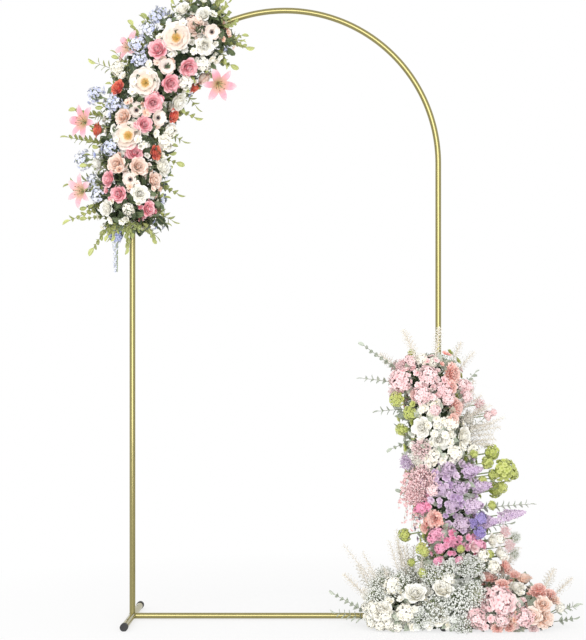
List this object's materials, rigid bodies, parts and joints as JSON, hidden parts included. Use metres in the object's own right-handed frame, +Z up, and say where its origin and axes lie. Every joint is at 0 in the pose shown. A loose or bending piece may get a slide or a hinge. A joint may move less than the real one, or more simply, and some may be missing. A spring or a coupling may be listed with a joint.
{
  "type": "wedding arch with floral swag and floor spray",
  "caption": "Round-topped wedding arch of golden steel tube on two foot bars, dressed with a floral swag on the bend and a tall floral spray on the floor.",
  "frame": {"origin": "on the floor, under the middle of the whole dressed arch", "axes": "+Z up, +X to the right as seen from the front, and the front faces -Y"},
  "size_m": [1.6839, 0.4448, 2.0273],
  "materials": {
    "gold_tube": "glossy golden lacquer",
    "black_rubber": "matte",
    "foam": "matte green foam",
    "tie": "satin green strap",
    "blush_petal": "matte",
    "pink_petal": "matte",
    "red_petal": "matte",
    "white_petal": "matte",
    "lily_petal": "matte",
    "blue_petal": "matte",
    "leaf": "satin",
    "pale_pink_petal": "matte",
    "lime_petal": "matte",
    "lilac_petal": "matte",
    "magenta_petal": "matte",
    "coral_petal": "matte",
    "peach_petal": "matte",
    "breath_petal": "matte",
    "plume": "matte",
    "grey_leaf": "matte"
  },
  "bodies": {
    "root": {"left_foot": "gold_tube", "right_foot": "gold_tube", "left_upright_lower": "gold_tube", "left_upright_middle": "gold_tube", "left_upright_upper": "gold_tube", "right_upright_lower": "gold_tube", "right_upright_middle": "gold_tube", "right_upright_upper": "gold_tube", "arch_left_lower": "gold_tube", "arch_left_upper": "gold_tube", "arch_right_upper": "gold_tube", "arch_right_lower": "gold_tube", "rail_left": "gold_tube", "rail_right": "gold_tube", "left_front_cap": "black_rubber", "left_back_cap": "black_rubber", "right_front_cap": "black_rubber", "right_back_cap": "black_rubber", "swag_base": "foam", "swag_ties": "tie", "swag_peonies": "blush_petal", "swag_pink_roses": "pink_petal", "swag_blush_roses": "peach_petal", "swag_red_roses": "red_petal", "swag_white_roses": "white_petal", "swag_lilies": "lily_petal", "swag_blue_clusters": "blue_petal", "swag_leaf_sprigs": "leaf", "swag_hanging_spike": "blue_petal", "spray_log": "foam", "spray_column": "foam", "spray_ties": "tie", "spray_pink_hydrangeas": "pale_pink_petal", "spray_white_roses": "white_petal", "spray_lime_balls": "lime_petal", "spray_lilacs": "lilac_petal", "spray_magenta_stocks": "magenta_petal", "spray_coral_carnations": "coral_petal", "spray_peach_roses": "peach_petal", "spray_baby_breath": "breath_petal", "spray_pink_drape": "pale_pink_petal", "spray_grass_plumes": "plume", "spray_leaf_sprigs": "grey_leaf"}
  },
  "joints": []
}
